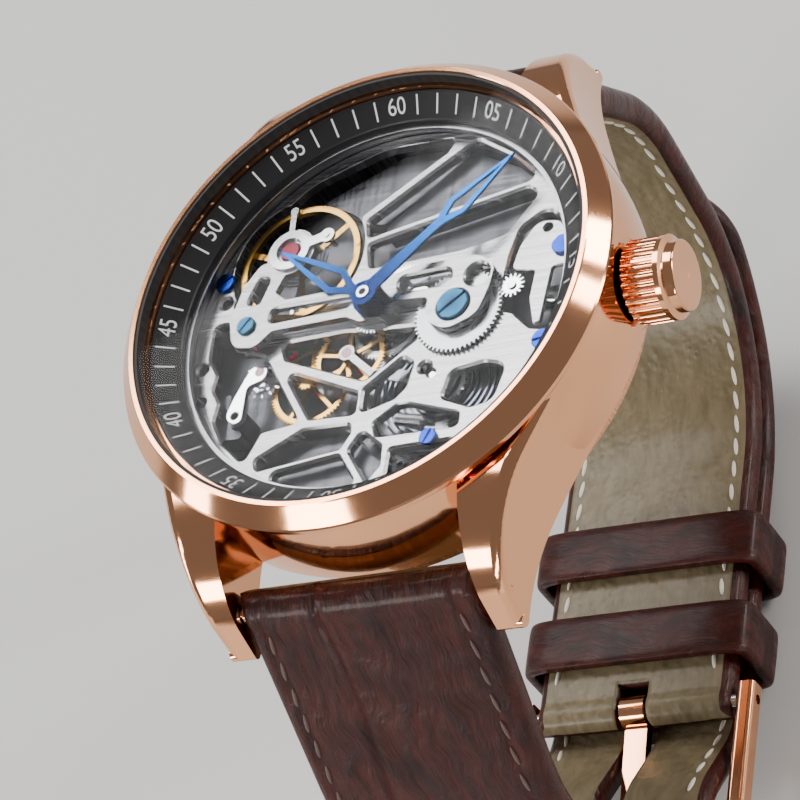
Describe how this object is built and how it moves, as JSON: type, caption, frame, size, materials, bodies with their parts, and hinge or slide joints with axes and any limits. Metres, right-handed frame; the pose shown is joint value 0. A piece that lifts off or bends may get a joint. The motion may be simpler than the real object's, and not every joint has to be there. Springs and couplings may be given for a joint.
{
  "type": "wristwatch",
  "caption": "Skeleton automatic wristwatch: round rose gold case, open movement, blued hands, fluted crown and a closed brown leather strap with pin buckle.",
  "frame": {"origin": "centre of the case back's flat outer face", "axes": "+Z out of the dial through the crystal, +Y towards 12 o'clock, +X towards the crown at 3 o'clock"},
  "size_m": [0.0449, 0.0676, 0.0587],
  "materials": {
    "rose_gold_polished": "polished rose gold plating",
    "rose_gold_small": "polished rose gold",
    "glass_clear": "clear polished sapphire",
    "gasket_black": "black nitrile",
    "chapter_black": "matte charcoal with printed white numerals",
    "holder_steel": "satin",
    "plate_rhodium": "brushed rhodium with polished bevels",
    "wheel_steel": "snailed steel",
    "wheel_gold": "gilt",
    "steel_polished": "polished steel",
    "spring_steel": "blued spring steel",
    "screw_blue": "heat-blued",
    "hand_blue": "heat-blued, satin",
    "ruby": "polished synthetic ruby",
    "rotor_steel": "striped and gilt",
    "strap_leather": "satin dark brown calf with pale lining"
  },
  "bodies": {
    "case": {"case_middle": "rose_gold_polished", "bezel": "rose_gold_polished", "crystal": "glass_clear", "crystal_gasket": "gasket_black", "chapter_ring": "chapter_black", "case_back": "rose_gold_polished", "case_back_glass": "glass_clear", "case_back_gasket": "gasket_black", "movement_holder": "holder_steel", "crown_tube": "steel_polished", "spring_bar_12": "steel_polished", "spring_bar_6": "steel_polished", "main_plate": "plate_rhodium", "front_bridge": "plate_rhodium", "rear_bridge": "plate_rhodium", "train_cock": "plate_rhodium", "train_jewels": "ruby", "balance_jewel": "ruby", "regulator": "plate_rhodium", "hairspring_stud": "steel_polished", "keyless_cover": "plate_rhodium", "crown_wheel_screw": "screw_blue", "bridge_screw": "screw_blue", "plate_screws": "screw_blue", "click_spring": "spring_steel", "wheel_posts": "steel_polished", "rotor_axle": "steel_polished", "strap_short": "strap_leather", "strap_long": "strap_leather", "fixed_keeper": "strap_leather", "buckle_bar": "steel_polished"},
    "crown_carrier": {"crown_gasket": "gasket_black"},
    "crown_set": {"crown": "rose_gold_polished", "winding_stem": "steel_polished", "sliding_pinion": "steel_polished"},
    "transfer_set": {"transfer_pinion": "wheel_steel"},
    "crown_wheel_set": {"crown_wheel": "wheel_steel"},
    "ratchet_set": {"ratchet_wheel": "wheel_steel", "barrel_arbor": "steel_polished"},
    "barrel_set": {"barrel_drum": "wheel_gold", "mainspring": "spring_steel"},
    "centre_set": {"centre_wheel": "wheel_steel"},
    "third_set": {"third_wheel": "wheel_gold"},
    "fourth_set": {"fourth_wheel": "wheel_gold"},
    "escape_set": {"escape_wheel": "wheel_steel"},
    "fork_set": {"pallet_fork": "wheel_steel", "pallet_stones": "ruby"},
    "balance_set": {"balance_wheel": "wheel_gold", "balance_staff": "steel_polished", "hairspring": "spring_steel"},
    "minute_set": {"cannon_pinion": "steel_polished", "minute_hand": "hand_blue"},
    "minute_wheel_set": {"minute_wheel": "wheel_steel"},
    "hour_set": {"hour_wheel": "wheel_steel", "hour_hand": "hand_blue"},
    "rotor_set": {"rotor": "rotor_steel", "rotor_hub": "rotor_steel"},
    "free_keeper_set": {"free_keeper": "strap_leather"},
    "buckle_set": {"buckle_frame": "rose_gold_polished"},
    "tang_set": {"buckle_tang": "rose_gold_small"}
  },
  "joints": [
    {"name": "crown_pull", "type": "slide", "parent": "case", "child": "crown_carrier", "axis": [1, 0, 0], "range_m": [0, 0.001]},
    {"name": "crown_turn", "type": "hinge", "parent": "crown_carrier", "child": "crown_set", "pos_m": [0.023, 0, 0.005], "axis": [1, 0, 0], "continuous": true},
    {"name": "transfer_turn", "type": "hinge", "parent": "case", "child": "transfer_set", "pos_m": [0.01114, 0.00019, 0.0069], "axis": [0, 0, 1], "continuous": true},
    {"name": "crown_wheel_turn", "type": "hinge", "parent": "case", "child": "crown_wheel_set", "pos_m": [0.00691, -0.00126, 0.0064], "axis": [0, 0, 1], "continuous": true},
    {"name": "ratchet_turn", "type": "hinge", "parent": "case", "child": "ratchet_set", "pos_m": [0.00521, -0.00621, 0.0054], "axis": [0, 0, 1], "continuous": true},
    {"name": "fourth_turn", "type": "hinge", "parent": "case", "child": "fourth_set", "pos_m": [-0.00607, -0.00448, 0.005], "axis": [0, 0, 1], "continuous": true},
    {"name": "barrel_turn", "type": "hinge", "parent": "case", "child": "barrel_set", "pos_m": [0.00521, -0.00621, 0.0046], "axis": [0, 0, 1], "continuous": true},
    {"name": "centre_turn", "type": "hinge", "parent": "case", "child": "centre_set", "pos_m": [0, 0, 0.0053], "axis": [0, 0, 1], "continuous": true},
    {"name": "third_turn", "type": "hinge", "parent": "case", "child": "third_set", "pos_m": [-0.00263, -0.00292, 0.0055], "axis": [0, 0, 1], "continuous": true},
    {"name": "escape_turn", "type": "hinge", "parent": "case", "child": "escape_set", "pos_m": [-0.01006, -0.00342, 0.0053], "axis": [0, 0, 1], "continuous": true},
    {"name": "balance_swing", "type": "hinge", "parent": "case", "child": "balance_set", "pos_m": [-0.0082, 0.0062, 0.0061], "axis": [0, 0, 1], "range_deg": [-150, 150], "stiffness_Nm_per_rad": 0.000001},
    {"name": "fork_rock", "type": "hinge", "parent": "case", "child": "fork_set", "pos_m": [-0.009, -0.00055, 0.0055], "axis": [0, 0, 1], "range_deg": [-5, 5]},
    {"name": "minute_hand_turn", "type": "hinge", "parent": "case", "child": "minute_set", "pos_m": [0, 0, 0.009], "axis": [0, 0, 1], "continuous": true},
    {"name": "minute_wheel_turn", "type": "hinge", "parent": "case", "child": "minute_wheel_set", "pos_m": [0.00195, 0.00175, 0.0069], "axis": [0, 0, 1], "continuous": true},
    {"name": "hour_hand_turn", "type": "hinge", "parent": "case", "child": "hour_set", "pos_m": [0, 0, 0.008], "axis": [0, 0, 1], "continuous": true},
    {"name": "rotor_swing", "type": "hinge", "parent": "case", "child": "rotor_set", "pos_m": [0, 0, 0.0025], "axis": [0, 0, 1], "continuous": true},
    {"name": "keeper_slide", "type": "slide", "parent": "case", "child": "free_keeper_set", "axis": [0, 1, 0], "range_m": [-0.002, 0.003]},
    {"name": "buckle_turn", "type": "hinge", "parent": "case", "child": "buckle_set", "pos_m": [0, -0.009, -0.042], "axis": [1, 0, 0], "range_deg": [0, 4]},
    {"name": "tang_turn", "type": "hinge", "parent": "buckle_set", "child": "tang_set", "pos_m": [0, -0.009, -0.042], "axis": [1, 0, 0], "range_deg": [0, 6]}
  ],
  "couplings": [
    {"joint": "transfer_turn", "follows": "crown_turn", "ratio": -1.0667},
    {"joint": "crown_wheel_turn", "follows": "crown_turn", "ratio": 0.2807},
    {"joint": "ratchet_turn", "follows": "crown_turn", "ratio": -0.32749},
    {"joint": "third_turn", "follows": "fourth_turn", "ratio": -0.26667},
    {"joint": "centre_turn", "follows": "fourth_turn", "ratio": 0.05},
    {"joint": "barrel_turn", "follows": "fourth_turn", "ratio": -0.011111},
    {"joint": "escape_turn", "follows": "fourth_turn", "ratio": -4.8571},
    {"joint": "fork_rock", "follows": "balance_swing", "ratio": 0.033333},
    {"joint": "minute_wheel_turn", "follows": "minute_hand_turn", "ratio": -0.33333},
    {"joint": "hour_hand_turn", "follows": "minute_hand_turn", "ratio": 0.083333}
  ]
}
